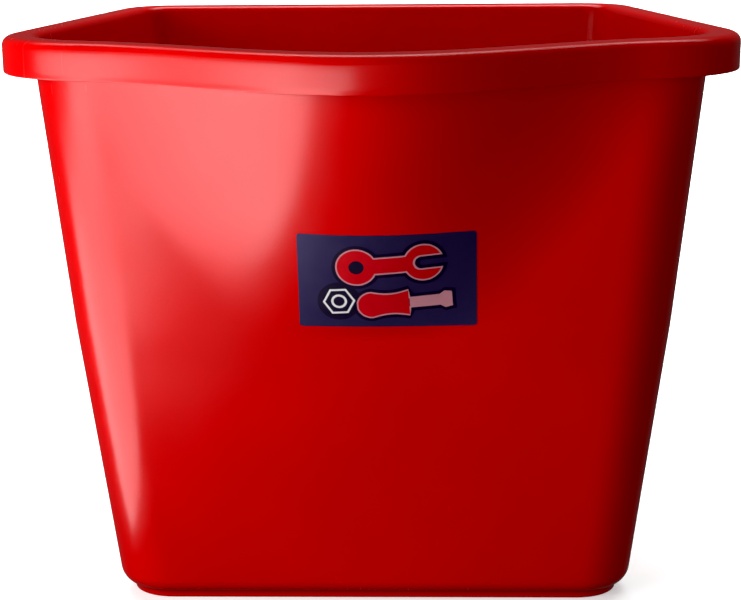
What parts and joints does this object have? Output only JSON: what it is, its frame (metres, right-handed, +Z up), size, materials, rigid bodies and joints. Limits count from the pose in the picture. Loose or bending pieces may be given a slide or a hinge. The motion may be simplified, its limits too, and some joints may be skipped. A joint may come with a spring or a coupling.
{
  "type": "tool bucket",
  "caption": "Rectangular plastic tool bucket with a bulged front, tapered walls, a skirted rim, a foot ring and a printed front label.",
  "frame": {"origin": "under the middle of the object, on the surface that the foot ring stands on", "axes": "+Z up, -Y towards the bulged and labelled front, +X to the right of someone who faces the label"},
  "size_m": [0.329, 0.2576, 0.2765],
  "materials": {
    "red_plastic": "semi-gloss moulded polypropylene",
    "navy_film": "satin printed film",
    "red_ink": "satin print",
    "pale_ink": "satin print"
  },
  "bodies": {
    "root": {"bucket_body": "red_plastic", "label_film": "navy_film", "emblem_spanner": "red_ink", "emblem_spanner_keyline": "pale_ink", "emblem_driver_handle": "red_ink", "emblem_driver_keyline": "pale_ink", "emblem_driver_blade": "pale_ink", "emblem_nut_edge": "pale_ink", "emblem_nut_bore": "pale_ink"}
  },
  "joints": []
}
